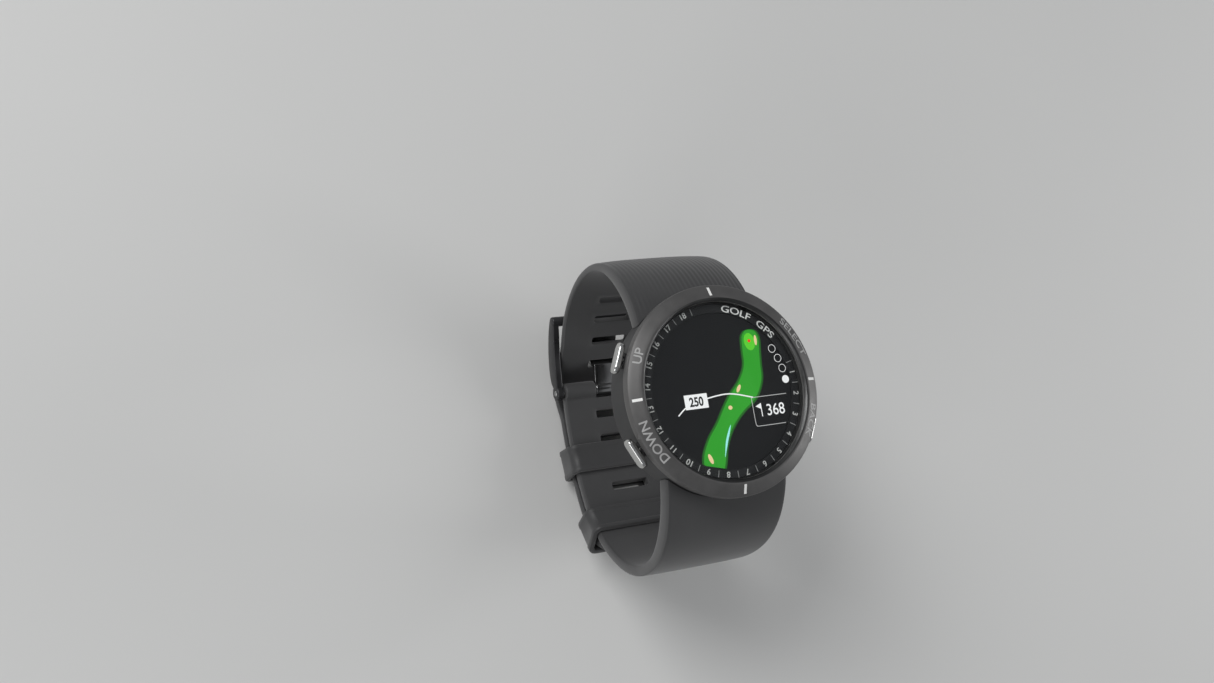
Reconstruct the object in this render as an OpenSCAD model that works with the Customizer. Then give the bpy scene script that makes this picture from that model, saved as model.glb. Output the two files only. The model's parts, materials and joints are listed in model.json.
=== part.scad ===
// Golf GPS watch, buckled into a closed wrist loop and standing on the foot of that loop.
// +Z is the dial's normal, +Y points to 12 o'clock, +X to 3 o'clock.
// The origin is under the middle of the whole watch, on the surface that it stands on.

/* [Case] */
// Outer diameter of the bezel
bezel_d = 46.5; // [46:0.1:47]
// Diameter of the case wall below the bezel
case_d = 44.8; // [44.4:0.1:45]
// Height from the case's closed back to the top of the bezel
case_h = 13; // [13:0.1:13.6]
// Diameter of the round lens
lens_d = 40.2; // [40:0.1:40.4]
// Thickness of the lens
lens_t = 0.8; // [0.6:0.1:0.8]

/* [Buttons] */
// Angle of the two upper buttons from 12 o'clock
upper_button_angle = 66; // [64:1:68]
// Angle of the two lower buttons from 12 o'clock
lower_button_angle = 116; // [114:1:118]
// Length of a button's face, round the case
button_l = 7; // [6:0.5:8]
// Height of a button's face
button_h = 2.8; // [2.4:0.1:3]
// Travel of a button
button_travel = 0.45; // [0.2:0.05:0.45]

/* [Strap] */
// Width of the strap at the case
strap_w_case = 30.2; // [30:0.1:30.8]
// Width of the strap at the buckle
strap_w = 26; // [25:0.5:26]
// Thickness of the strap half that carries the buckle
strap_t = 2.8; // [2.6:0.1:2.8]
// Thickness of the strap half with the free tip
tail_t = 2.4; // [2.2:0.1:2.5]
// Width of an adjustment slot, across the strap
slot_w = 10; // [9.6:0.1:10.4]
// Length of an adjustment slot, along the strap
slot_l = 2; // [1.9:0.05:2.1]
// Spacing of the adjustment slots
slot_pitch = 6.5; // [6.4:0.1:6.6]
// Width of each keeper, along the strap
keeper_l = 7.2; // [6:0.2:7.6]
// Wall of each keeper
keeper_wall = 1.4; // [1.2:0.1:1.5]

/* [Buckle] */
// Thickness of each side arm of the buckle's frame
arm_t = 1.7; // [1.4:0.1:2]
// Radius of the bar at the far end of the frame
bar_r = 1.25; // [1.1:0.05:1.3]
// Width of the tongue
tongue_w = 8.4; // [7:0.2:8.6]
// Radius of the pin that the frame and the tongue turn on
buckle_pin_r = 0.8; // [0.7:0.05:0.8]

/* [Hidden] */
$fn = 64;
tiny = 0.01;
gap = 0.25;                 // air between neighbouring pieces that don't touch
running = 0.04;             // radial clearance of a turning or sliding fit

// The loop's middle line, from its foot to each side of the case: [length, radius] of each arc
upper_arcs = [[17, 46], [34.5, 26.6], [25, 24]];
lower_arcs = [[20, 62], [41, 26.5], [21.5, 23.5]];
foot_y = 2;                 // the foot of the loop, from the dial's centre
foot_z = -60.6;

// Stations are distances along the loop from its foot, positive on the 12 o'clock side
hinge_s = slot_pitch + 2;   // the buckle's pin
bar_s = hinge_s + 17.5;     // the far bar of the frame
tongue_s = hinge_s + slot_pitch;
lift_end_s = 22;            // the tail leaves the loop's middle line here,
lift_full_s = 9;            // and is fully outside the lower strap here
tip_s = -33;                // the tail's free end
fixed_keeper_s = -9.1;
sliding_keeper_s = -26.8;
upper_bar_s = 73.8;         // the spring bars at the case
lower_bar_s = -78.4;
upper_end_s = 81;           // the straps run into the case and are cut to its round wall
lower_end_s = -85.5;
lug_thick = 4.4;            // the straps thicken to this over the spring bars
step_s = 2.5;               // length of one flat along a strap

layer_gap = 0.8;            // between the two strap halves
lap = strap_t / 2 + layer_gap + tail_t / 2;
keeper_in_v = -strap_t / 2 - 0.2;
keeper_out_v = lap + tail_t / 2 + 0.5;
keeper_half_w = strap_w / 2 + gap;
arm_in_x = strap_w / 2 + 0.4;
hinge_barrel_r = 2.3;
tongue_barrel_r = 1.6;
hump_reach = 8;

// Heights in the case, from the top of the bezel
lens_top_z = -1.2;
lens_low_z = lens_top_z - lens_t;
shelf_z = lens_low_z - 0.4;
shoulder_z = -4;
cavity_r = 20.6;
mark_w = 0.6;
window_r = 19.1;
board_z = -6.2;
board_t = 0.8;
board_r = 18.9;
seat_z = -case_h + 1.8;
flange_z = -case_h + 0.8;
raised_back_r = 16.5;
screw_pitch_r = 18.8;
screw_r = 0.6;

stem_z = -5.8;
cap_z = -5.3;
stem_r = 0.9;
switch_face_r = 19.25;
stem_end_r = switch_face_r + button_travel + 0.1;
cap_in_r = 23.55;
cap_out_r = 25.1;
boss_r = 1.7;
boss_out_r = 22.95;
seal_mid_r = 21.8;
clip_r = 20.35;

lug_in_x = 11.1;
lug_out_x = 13.7;
lug_eye_r = 1.25;
spring_bar_r = 0.9;
tip_r = 0.55;
tip_travel = 1.3;
tip_out_x = 12.5;
knob_x = 8.4;

tau = 180 / PI;

// Follow a chain of arcs for distance s: [y, z, heading]
function follow(arcs, s, i = 0, y = 0, z = 0, h = 0) =
    let (r = arcs[i][1],
         d = i == len(arcs) - 1 ? s : min(s, arcs[i][0]),
         turned = h + d / r * tau,
         y2 = y + r * (sin(turned) - sin(h)),
         z2 = z + r * (cos(h) - cos(turned)))
    d >= s ? [y2, z2, turned] : follow(arcs, s - d, i + 1, y2, z2, turned);

function side_of(s) = s < 0 ? -1 : 1;
function route(s) = follow(s < 0 ? lower_arcs : upper_arcs, abs(s));
function heading(s) = side_of(s) * route(s)[2];

// The point [y, z] at station s, v outside the loop's middle line, seen from the dial's centre
function loop_at(s, v = 0) =
    let (p = route(s))
    [foot_y + side_of(s) * (p[0] + v * sin(p[2])), foot_z + p[1] - v * cos(p[2])];

function ease(t) = t < 0 ? 0 : t > 1 ? 1 : t * t * (3 - 2 * t);
function bell(t) = abs(t) > 1 ? 0 : (1 + cos(180 * t)) / 2;

// The keeper's front edge is the lowest point, and the tail's hump over the buckle's pin matches it
floor_z = loop_at(fixed_keeper_s + keeper_l / 2, keeper_out_v + keeper_wall)[1];
hump = (loop_at(hinge_s)[1] - floor_z) / cos(heading(hinge_s)) - tail_t / 2 - lap;

tail_mid = function (s)
    lap * ease((lift_end_s - s) / (lift_end_s - lift_full_s)) + hump * bell((s - hinge_s) / hump_reach);
on_line = function (s) 0;
tail_thick = function (s) tail_t + (lug_thick - tail_t) * ease((s - 52) / 20);
lower_thick = function (s) strap_t + (lug_thick - strap_t) * ease((-s - 56) / 20);

// Half widths of the strap by height: [height from the dial, half width]
half_widths = [[0, strap_w_case / 2], [-10, strap_w_case / 2], [-16, 14.6], [-23, 13.9],
               [-32, 13.3], [-45, strap_w / 2], [-70, strap_w / 2]];

function spread(from, to) =
    let (n = ceil(abs(to - from) / step_s))
    [for (i = [0 : n]) from + (to - from) * i / n];

function band(stations, mid, thick) = concat(
    [for (s = stations) loop_at(s, mid(s) + thick(s) / 2)],
    [for (i = [len(stations) - 1 : -1 : 0])
        loop_at(stations[i], mid(stations[i]) - thick(stations[i]) / 2)]);

function on_loop(points) = [for (p = points) loop_at(p[0], p[1])];

// The whole box's middle in Y, so that the origin is under it
loop_y_max = max([for (s = spread(20, 60)) loop_at(s, tail_t / 2)[0]]);
loop_y_min = min([for (s = spread(-60, -20)) loop_at(s, strap_t / 2)[0]]);
case_y = -(loop_y_max + loop_y_min) / 2;
dial_z = -floor_z;

// ---- Helpers ----

// From the dial's frame, with its centre at the top of the bezel, to the watch's own frame
module from_dial() {
    translate([0, case_y, dial_z]) children();
}

// A ring about Z between two heights
module ring(r_in, r_out, z_low, z_high) {
    translate([0, 0, z_low]) difference() {
        cylinder(r = r_out, h = z_high - z_low, $fn = 128);
        translate([0, 0, -tiny]) cylinder(r = r_in, h = z_high - z_low + 2 * tiny, $fn = 128);
    }
}

module disc(r, z_low, z_high) {
    translate([0, 0, z_low]) cylinder(r = r, h = z_high - z_low, $fn = 128);
}

module slab(x, y, z) {
    translate([x[0], y[0], z[0]]) cube([x[1] - x[0], y[1] - y[0], z[1] - z[0]]);
}

// A rod along X between two places, centred on [y, z]
module rod(r, x_from, x_to, at) {
    translate([x_from, at[0], at[1]]) rotate([0, 90, 0]) cylinder(r = r, h = x_to - x_from);
}

// An outline in Y and Z, carried across the watch between two places in X
module across(x_from, x_to) {
    translate([x_from, 0, 0]) rotate([90, 0, 90]) linear_extrude(x_to - x_from) children();
}

// Children stand at station s of the loop, with +Z pointing out of it and +Y along the strap
module at_station(s, v = 0) {
    p = loop_at(s, v);
    translate([0, p[0], p[1]]) rotate([heading(s), 0, 0]) mirror([0, 0, 1]) children();
}

// Children are made along +Y at 12 o'clock and turned clockwise to the angle
module at_clock(angle) {
    rotate([0, 0, -angle]) children();
}

module at_each_button() {
    for (angle = [upper_button_angle, lower_button_angle], side = [-1, 1])
        at_clock(side * angle) children();
}

// A rod along +Y between two radii
module spoke(r, r_from, r_to, z = stem_z) {
    translate([0, r_from, z]) rotate([-90, 0, 0]) cylinder(r = r, h = r_to - r_from);
}

// ---- Case ----

// One lug's outline: an arm from the case's wall to a round eye
module lug_outline(eye, grow = 0) {
    side = eye[0] < 0 ? -1 : 1;
    hull() {
        translate(eye) circle(r = lug_eye_r + grow);
        translate([side * 17.5, -9.1]) square([3, 1.6 + 2 * grow], center = true);
    }
}

module lugs(eye) {
    for (x = [-lug_out_x, lug_in_x])
        across(x, x + lug_out_x - lug_in_x) lug_outline(eye);
}

upper_eye = loop_at(upper_bar_s);
lower_eye = loop_at(lower_bar_s);

module mid_case() {
    from_dial() color([0.22, 0.22, 0.23]) difference() {
        union() {
            difference() {
                union() {
                    disc(case_d / 2, seat_z, shoulder_z);
                    lugs(upper_eye);
                    lugs(lower_eye);
                    at_each_button() spoke(boss_r, 21, boss_out_r);
                }
                disc(cavity_r, seat_z - 1, shoulder_z + tiny);
            }
            ring(window_r, lens_d / 2 + 0.15, shoulder_z - tiny, shelf_z);
            ring(window_r, cavity_r + tiny, shoulder_z - 0.5, shoulder_z);
            for (angle = [45 : 90 : 315]) at_clock(angle) {
                translate([0, screw_pitch_r, seat_z]) cylinder(r = 1.5, h = 4);
                slab([-1.5, 1.5], [screw_pitch_r, cavity_r + 0.3], [seat_z, seat_z + 4]);
            }
        }
        for (angle = [45 : 90 : 315]) at_clock(angle)
            translate([0, screw_pitch_r, seat_z - 1]) cylinder(r = screw_r + 0.02, h = 4.2);
        at_each_button() spoke(stem_r + running, 20, boss_out_r + 1);
        for (eye = [upper_eye, lower_eye]) {
            rod(tip_r + running, lug_in_x - 1, 12.9, eye);
            rod(tip_r + running, -12.9, -lug_in_x + 1, eye);
        }
        ring(21.1, 21.7, seat_z - tiny, seat_z + 0.5);
    }
}

module mark_prism(rise) {
    translate([-mark_w / 2, 0, 0]) rotate([90, 0, 90]) linear_extrude(mark_w)
        polygon([[20.6, -0.5], [22.6, -1.45], [22.6, -1 + rise], [20.6, -0.05 + rise]]);
}

module bezel() {
    r = bezel_d / 2;
    from_dial() color([0.36, 0.35, 0.35]) difference() {
        rotate_extrude($fn = 128) polygon([
            [19.4, lens_top_z + 0.02], [19.75, -0.15], [20.05, 0], [20.5, 0],
            [22.6, -1], [r - 0.12, -1.35], [r, -1.8], [r, -3.4], [r - 0.5, shoulder_z],
            [lens_d / 2 + 0.2, shoulder_z], [lens_d / 2 + 0.2, lens_top_z + 0.02]]);
        for (angle = [0 : 90 : 270]) at_clock(angle) mark_prism(1);
    }
}

module index_marks() {
    from_dial() color("white") for (angle = [0 : 90 : 270]) at_clock(angle) mark_prism(0.02);
}

module lens() {
    from_dial() color([0.1, 0.1, 0.1, 0.4]) disc(lens_d / 2, lens_low_z, lens_top_z);
}

module lens_gasket() {
    from_dial() color([0.1, 0.1, 0.1]) ring(window_r + 0.05, lens_d / 2, shelf_z, lens_low_z);
}

module hole_number_ring() {
    from_dial() color([0.08, 0.08, 0.08]) ring(17.2, 19, lens_low_z - 0.3, lens_low_z - 0.05);
}

// ---- Inside the case ----

display_top_z = lens_low_z - 0.35;
display_low_z = display_top_z - 1.4;

module display_module() {
    from_dial() color([0.05, 0.05, 0.05]) disc(18.9, display_low_z, display_top_z);
}

module display_carrier() {
    wall_low_z = board_z;
    from_dial() color([0.15, 0.15, 0.16]) difference() {
        union() {
            disc(18.9, display_low_z - 0.5, display_low_z);
            ring(17.8, 18.9, wall_low_z, display_low_z - 0.4);
        }
        at_each_button() slab([-3, 3], [17, 20], [wall_low_z - 1, display_low_z - 0.5]);
        slab([-3.5, 3.5], [-17.4, -16.2], [wall_low_z, display_low_z + 1]);
    }
}

module display_flex() {
    from_dial() color([0.7, 0.45, 0.15]) {
        slab([-3, 3], [-16.9, -16.7], [board_z + 0.2, display_low_z]);
        slab([-3, 3], [-16.9, -14], [board_z, board_z + 0.2]);
    }
}

module circuit_board() {
    from_dial() color([0.05, 0.3, 0.15]) disc(board_r, board_z - board_t, board_z);
}

module chip_shield() {
    from_dial() color([0.75, 0.75, 0.77]) slab([-11, 1], [-9, 2], [board_z, board_z + 1.4]);
}

module board_chips() {
    from_dial() color([0.12, 0.12, 0.12]) {
        slab([3, 9], [-8, -2], [board_z, board_z + 1]);
        slab([4, 8], [0, 3], [board_z, board_z + 0.9]);
        slab([10.5, 13.5], [-5, -1], [board_z, board_z + 0.8]);
        for (x = [-11 : 2.5 : -3.5]) slab([x, x + 1.2], [-12, -11.2], [board_z, board_z + 0.6]);
    }
}

module gps_antenna() {
    from_dial() color([0.75, 0.68, 0.5]) difference() {
        slab([-5, 5], [5, 15], [board_z, board_z + 1.5]);
        translate([1.2, 10, board_z - 1]) cylinder(r = 0.5, h = 4);
    }
}

module battery() {
    from_dial() color([0.7, 0.7, 0.72]) slab([-6, 14], [-11, 11], [seat_z + 0.1, board_z - 1.1]);
}

module vibration_motor() {
    from_dial() color([0.8, 0.8, 0.82])
        translate([-12.4, 0, board_z - board_t - 2.6]) cylinder(r = 4, h = 2.6);
}

module back_cover() {
    contact_y = -9;
    from_dial() color([0.16, 0.16, 0.17]) difference() {
        union() {
            disc(case_d / 2 - 0.3, flange_z, seat_z);
            disc(raised_back_r, -case_h, flange_z + tiny);
        }
        for (angle = [45 : 90 : 315]) at_clock(angle) translate([0, screw_pitch_r, 0]) {
            translate([0, 0, -case_h]) cylinder(r = screw_r + 0.1, h = 4);
            translate([0, 0, -case_h]) cylinder(r = 1.25, h = 1.3);
        }
        for (i = [-1.5 : 1 : 1.5])
            translate([i * 2.54, contact_y, -case_h - 1]) cylinder(r = 0.92, h = 4);
    }
}

module back_gasket() {
    from_dial() color([0.1, 0.1, 0.1]) ring(21.12, 21.68, seat_z, seat_z + 0.48);
}

module back_screws() {
    from_dial() color([0.6, 0.6, 0.62]) for (angle = [45 : 90 : 315])
        at_clock(angle) translate([0, screw_pitch_r, 0]) difference() {
            union() {
                disc(1.1, -case_h + 0.85, -case_h + 1.28);
                disc(screw_r, -case_h + 1.2, seat_z + 3);
            }
            slab([-1.2, 1.2], [-0.15, 0.15], [-case_h + 0.8, -case_h + 1.05]);
        }
}

module charging_contacts() {
    from_dial() color([0.85, 0.65, 0.25]) for (i = [-1.5 : 1 : 1.5])
        translate([i * 2.54, -9, -case_h]) cylinder(r = 0.9, h = 1.8);
}

module tact_switches() {
    from_dial() color([0.3, 0.3, 0.3]) at_each_button() {
        slab([-2.2, 2.2], [17.6, switch_face_r - 0.35], [board_z, board_z + 1.4]);
        spoke(0.6, switch_face_r - 0.4, switch_face_r, board_z + 0.7);
    }
}

// ---- Buttons ----

// A push button in one piece: a face with round ends, and a stem with two grooves
module button(angle) {
    end_x = (button_l - button_h) / 2;
    from_dial() color([0.75, 0.75, 0.76]) at_clock(angle) {
        difference() {
            spoke(stem_r, stem_end_r, cap_in_r + 0.5);
            for (r = [seal_mid_r, clip_r]) difference() {
                spoke(2, r - 0.2, r + 0.2);
                spoke(0.6, r - 1, r + 1);
            }
        }
        for (x = [-end_x, end_x])
            translate([x, 0, 0]) spoke(button_h / 2, cap_in_r, cap_out_r, cap_z);
        slab([-end_x, end_x], [cap_in_r, cap_out_r], [cap_z - button_h / 2, cap_z + button_h / 2]);
    }
}

module seal(angle) {
    from_dial() color([0.1, 0.1, 0.1]) at_clock(angle)
        translate([0, seal_mid_r, stem_z]) rotate([90, 0, 0]) rotate_extrude()
            translate([0.77, 0]) circle(r = 0.15, $fn = 24);
}

module clip(angle) {
    from_dial() color([0.55, 0.55, 0.57]) at_clock(angle) difference() {
        spoke(1.2, clip_r - 0.15, clip_r + 0.15);
        spoke(0.62, clip_r - 1, clip_r + 1);
        slab([-0.5, 0.5], [clip_r - 1, clip_r + 1], [stem_z - 2, stem_z]);
    }
}

// ---- Strap ----

module tapered() {
    left = [for (p = half_widths) [-p[1], p[0]]];
    right = [for (i = [len(half_widths) - 1 : -1 : 0]) [half_widths[i][1], half_widths[i][0]]];
    translate([0, 60, 0]) rotate([90, 0, 0]) linear_extrude(120) polygon(concat(left, right));
}

module slots(first, last) {
    for (s = [first : slot_pitch : last])
        at_station(s) translate([-slot_w / 2, -slot_l / 2, -4]) cube([slot_w, slot_l, 12]);
}

// What a strap's end leaves room for: the case, the bezel, the lugs and the spring bar
module case_room(eye) {
    disc(case_d / 2 + 0.2, -20, shoulder_z);
    disc(bezel_d / 2 + 0.2, shoulder_z - gap, 5);
    at_each_button() spoke(boss_r + gap, 20, 24);
    for (x = [-lug_out_x, lug_in_x])
        across(x - gap, x + lug_out_x - lug_in_x + gap) hull() {
            lug_outline(eye, gap);
            lug_outline([eye[0] - side_of(eye[0]) * 2, eye[1] - 4], gap);
        }
    rod(spring_bar_r + 0.05, -lug_in_x, lug_in_x, eye);
    translate([knob_x - tip_travel - 0.9, eye[0] - 0.7, eye[1] - 6])
        cube([tip_travel + 1.8, 1.4, 6]);
}

module strap_upper() {
    first_slot_s = tongue_s - 5 * slot_pitch;
    from_dial() color([0.27, 0.27, 0.28]) difference() {
        intersection() {
            across(-20, 20) polygon(band(spread(tip_s, upper_end_s), tail_mid, tail_thick));
            tapered();
        }
        slots(first_slot_s, tongue_s + 3 * slot_pitch + tiny);
        case_room(upper_eye);
    }
}

module strap_lower() {
    hinge = loop_at(hinge_s);
    from_dial() color([0.27, 0.27, 0.28]) difference() {
        union() {
            intersection() {
                across(-20, 20) polygon(band(spread(lower_end_s, hinge_s), on_line, lower_thick));
                tapered();
            }
            rod(hinge_barrel_r, -strap_w / 2, strap_w / 2, hinge);
        }
        rod(buckle_pin_r + 0.02, -20, 20, hinge);
        at_station(hinge_s) translate([-tongue_w / 2 - 0.3, -2.2, -5]) cube([tongue_w + 0.6, 6, 10]);
        slots(hinge_s - 5 * slot_pitch, hinge_s - slot_pitch + tiny);
        case_room(lower_eye);
    }
}

// The tube of a quick-release spring bar, with one fixed tip and a window for the release pin's knob
module spring_bar(eye) {
    half = lug_in_x - 0.4;
    from_dial() color([0.7, 0.7, 0.72]) difference() {
        union() {
            rod(spring_bar_r, -half, half, eye);
            rod(tip_r, -tip_out_x, -half + 1, eye);
        }
        rod(tip_r + running, 1.5, half + 1, eye);
        translate([knob_x - tip_travel - 0.6, eye[0] - 0.5, eye[1] - 2])
            cube([tip_travel + 1.2, 1, 2]);
    }
}

// The sliding tip of a spring bar, with the knob that the thumbnail pushes
module release_pin(eye) {
    from_dial() color([0.78, 0.78, 0.8]) {
        rod(tip_r, 4.5, tip_out_x, eye);
        translate([knob_x, eye[0], eye[1] - 2.6]) cylinder(r = 0.4, h = 2.6);
    }
}

// ---- Buckle and keepers ----

module buckle_pin() {
    from_dial() color([0.72, 0.72, 0.74])
        rod(buckle_pin_r, -arm_in_x - arm_t, arm_in_x + arm_t, loop_at(hinge_s));
}

// Lower and upper edge of a side arm by station: [station, inner v, outer v]
arm_edges = [[hinge_s, -1.2, 1.9], [hinge_s + 3, -1.1, 2.9], [hinge_s + 6, -0.8, 3.4],
             [hinge_s + 9, -0.4, 3.7], [hinge_s + 12, 0.1, 3.9], [hinge_s + 15, 0.8, 4.1],
             [bar_s, 1.8, 4.1]];

module arm_outline() {
    outer = [for (e = arm_edges) [e[0], e[2]]];
    inner = [for (i = [len(arm_edges) - 1 : -1 : 0]) [arm_edges[i][0], arm_edges[i][1]]];
    polygon(on_loop(concat(outer, inner)));
}

module buckle_frame() {
    hinge = loop_at(hinge_s);
    bar_v = tail_t / 2 + 0.35 + bar_r;
    bar = loop_at(bar_s, bar_v);
    out_x = arm_in_x + arm_t;
    from_dial() color([0.3, 0.3, 0.31]) difference() {
        union() {
            for (x = [-out_x, arm_in_x]) {
                across(x, x + arm_t) arm_outline();
                rod(1.9, x, x + arm_t, hinge);
            }
            rod(bar_r, -out_x, out_x, bar);
        }
        rod(buckle_pin_r + running, -20, 20, hinge);
        at_station(bar_s, bar_v + bar_r - 0.3)
            translate([-tongue_w / 2 - 0.3, -3, 0]) cube([tongue_w + 0.6, 6, 3]);
    }
}

// The tongue starts on the pin, passes through a slot of the tail, and lies on the far bar
module buckle_tongue() {
    hinge = loop_at(hinge_s);
    rest_v = tail_t / 2 + 0.35 + 2 * bar_r - 0.2;
    thick = 0.8;
    half = tongue_w / 2;
    from_dial() color([0.72, 0.72, 0.74]) difference() {
        union() {
            across(-half, half) polygon(on_loop([
                [hinge_s + 0.5, -0.1], [hinge_s + 3, -0.1], [tongue_s - 0.85, -0.1],
                [tongue_s - 0.15, 3.9], [tongue_s + 0.4, rest_v + 0.6], [tongue_s + 2, rest_v + thick],
                [tongue_s + 5, rest_v + thick], [tongue_s + 8, rest_v + thick],
                [bar_s, rest_v + thick], [bar_s + 1.6, rest_v + thick - 0.1],
                [bar_s + 1.6, rest_v], [bar_s, rest_v], [tongue_s + 8, rest_v], [tongue_s + 5, rest_v],
                [tongue_s + 2, rest_v], [tongue_s + 0.75, 3.4], [tongue_s, -0.9],
                [hinge_s + 3, -0.9], [hinge_s + 0.5, -0.9]]));
            rod(tongue_barrel_r, -half, half, hinge);
        }
        rod(buckle_pin_r + running, -20, 20, hinge);
    }
}

// A square loop round both straps, bent with the arc of the loop that it sits on
module keeper(s, arc_r) {
    centre = loop_at(s, -arc_r);
    turn = keeper_l / arc_r * tau;
    wall = keeper_wall;
    out_w = keeper_half_w + wall;
    translate([0, centre[0], centre[1]]) rotate([heading(s) - 90 - turn / 2, 0, 0])
        rotate([90, 0, 90]) rotate_extrude(angle = turn, $fn = 128) difference() {
            translate([arc_r + keeper_in_v - wall, -out_w])
                square([keeper_out_v - keeper_in_v + 2 * wall, 2 * out_w]);
            translate([arc_r + keeper_in_v, -keeper_half_w])
                square([keeper_out_v - keeper_in_v, 2 * keeper_half_w]);
        }
}

module keeper_fixed() {
    from_dial() color([0.25, 0.25, 0.26]) keeper(fixed_keeper_s, lower_arcs[0][1]);
}

module keeper_sliding() {
    from_dial() color([0.25, 0.25, 0.26]) keeper(sliding_keeper_s, lower_arcs[1][1]);
}

mid_case();
bezel();
index_marks();
lens();
lens_gasket();
hole_number_ring();
display_module();
display_carrier();
display_flex();
circuit_board();
chip_shield();
board_chips();
gps_antenna();
battery();
vibration_motor();
back_cover();
back_gasket();
back_screws();
charging_contacts();
tact_switches();
button(-upper_button_angle);  // button_up
button(-lower_button_angle);  // button_down
button(upper_button_angle);  // button_select
button(lower_button_angle);  // button_back
seal(-upper_button_angle);  // seal_up
seal(-lower_button_angle);  // seal_down
seal(upper_button_angle);  // seal_select
seal(lower_button_angle);  // seal_back
clip(-upper_button_angle);  // clip_up
clip(-lower_button_angle);  // clip_down
clip(upper_button_angle);  // clip_select
clip(lower_button_angle);  // clip_back
strap_upper();
strap_lower();
spring_bar(upper_eye);  // spring_bar_upper
spring_bar(lower_eye);  // spring_bar_lower
release_pin(upper_eye);  // release_pin_upper
release_pin(lower_eye);  // release_pin_lower
buckle_pin();
buckle_frame();
buckle_tongue();
keeper_fixed();
keeper_sliding();
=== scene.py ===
import json
import math

import bmesh
import bpy
from mathutils import Matrix, Vector


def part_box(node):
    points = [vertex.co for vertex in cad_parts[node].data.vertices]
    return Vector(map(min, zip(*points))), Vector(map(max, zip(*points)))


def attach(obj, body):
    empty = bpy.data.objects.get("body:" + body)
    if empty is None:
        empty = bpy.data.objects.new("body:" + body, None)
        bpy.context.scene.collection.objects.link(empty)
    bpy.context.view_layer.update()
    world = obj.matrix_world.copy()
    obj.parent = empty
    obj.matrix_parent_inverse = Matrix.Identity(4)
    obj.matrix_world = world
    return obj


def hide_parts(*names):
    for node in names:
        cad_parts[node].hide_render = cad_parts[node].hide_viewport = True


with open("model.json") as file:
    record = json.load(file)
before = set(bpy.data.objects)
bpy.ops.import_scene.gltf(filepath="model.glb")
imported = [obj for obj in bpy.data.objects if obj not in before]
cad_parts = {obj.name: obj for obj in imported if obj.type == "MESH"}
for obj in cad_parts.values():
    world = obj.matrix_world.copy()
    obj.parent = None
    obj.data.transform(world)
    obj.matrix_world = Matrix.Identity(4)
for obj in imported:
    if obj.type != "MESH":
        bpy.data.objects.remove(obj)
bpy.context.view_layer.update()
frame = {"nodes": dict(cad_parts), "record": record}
nodes = frame["nodes"]

# Places are in millimetres from the middle of the bezel's top face, as in the CAD's dial frame
MM = 0.001
bezel_low, bezel_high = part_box("bezel")
DIAL = Vector((0, (bezel_low.y + bezel_high.y) / 2, bezel_high.z))


def at(x, y, z):
    return DIAL + Vector((x, y, z)) * MM


# ---- The strap's loop ----
# A station s is a length along the loop's middle line from its foot, positive on 12 o'clock's side.
# A height v is measured outward from that line. Each side is a row of arcs, as (length, radius).

UPPER_ARCS = ((17, 46), (34.5, 26.6), (25, 24))
LOWER_ARCS = ((20, 62), (41, 26.5), (21.5, 23.5))
FOOT_Y, FOOT_Z = 2, -60.6
SLOT_PITCH = 6.5
HINGE_S = 8.5                              # the buckle's pin
TONGUE_S = HINGE_S + SLOT_PITCH            # the slot that the tongue is in
BAR_S = HINGE_S + 17.5                     # the far bar of the buckle's frame
TIP_S = -33                                # the tail's free tip
FIXED_KEEPER_S, SLIDING_KEEPER_S = -9.1, -26.8
UPPER_BAR_S, LOWER_BAR_S = 73.8, -78.4     # the spring bars
UPPER_TOP_S, LOWER_TOP_S = 78.5, -84       # the last stations, which are fitted to the case's wall
UPPER_FIT_S, LOWER_FIT_S = 64, -66         # the fitting starts here
STRAP_T, TAIL_T, LUG_T = 2.8, 2.4, 4.4
LAYER_GAP = 0.8
LAP = STRAP_T / 2 + LAYER_GAP + TAIL_T / 2
LIFT_S, LIFT_SPAN = 22, 13                 # from here down, the tail goes outside the other half
HUMP_REACH = 8
FREE_HALF_W = 13                           # half the strap's width, away from the case
HALF_WIDTHS = ((-60, 13), (-45, 13), (-32, 13.3), (-23, 13.9), (-16, 14.6), (-10, 15.1), (0, 15.1))


def follow(arcs, s):
    """(y, z, heading) after a length s along the arcs, from a level start."""
    y = z = heading = 0.0
    for i, (length, radius) in enumerate(arcs):
        step = s if i == len(arcs) - 1 else min(s, length)
        turned = heading + step / radius
        y += radius * (math.sin(turned) - math.sin(heading))
        z += radius * (math.cos(heading) - math.cos(turned))
        heading = turned
        s -= step
        if s <= 0:
            break
    return y, z, heading


def loop_at(s, v=0.0):
    """(y, z) at station s, v outside the loop's middle line."""
    side = -1 if s < 0 else 1
    y, z, heading = follow(LOWER_ARCS if s < 0 else UPPER_ARCS, abs(s))
    return FOOT_Y + side * (y + v * math.sin(heading)), FOOT_Z + z - v * math.cos(heading)


def on_loop(x, s, v):
    return at(x, *loop_at(s, v))


def ease(t):
    t = min(max(t, 0), 1)
    return t * t * (3 - 2 * t)


def mix(a, b, t):
    return a + (b - a) * t


def half_width(s):
    """Half the strap's width, from HALF_WIDTHS by the height of its middle line."""
    z = loop_at(s)[1]
    for (z0, w0), (z1, w1) in zip(HALF_WIDTHS, HALF_WIDTHS[1:]):
        if z <= z1:
            return mix(w0, w1, min(max((z - z0) / (z1 - z0), 0), 1))
    return HALF_WIDTHS[-1][1]


# The tail's outside bulges over the buckle's pin until it touches the floor
floor_reach = (loop_at(HINGE_S)[1] + DIAL.z / MM) / math.cos(follow(UPPER_ARCS, HINGE_S)[2])
hump_height = floor_reach - TAIL_T / 2 - LAP


def tail_mid(s):
    """How far outside the loop's middle line the tail's own middle lies."""
    bell = 0
    if abs(s - HINGE_S) < HUMP_REACH:
        bell = (1 + math.cos(math.pi * (s - HINGE_S) / HUMP_REACH)) / 2
    return LAP * ease((LIFT_S - s) / LIFT_SPAN) + hump_height * bell


# ---- Materials ----

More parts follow.
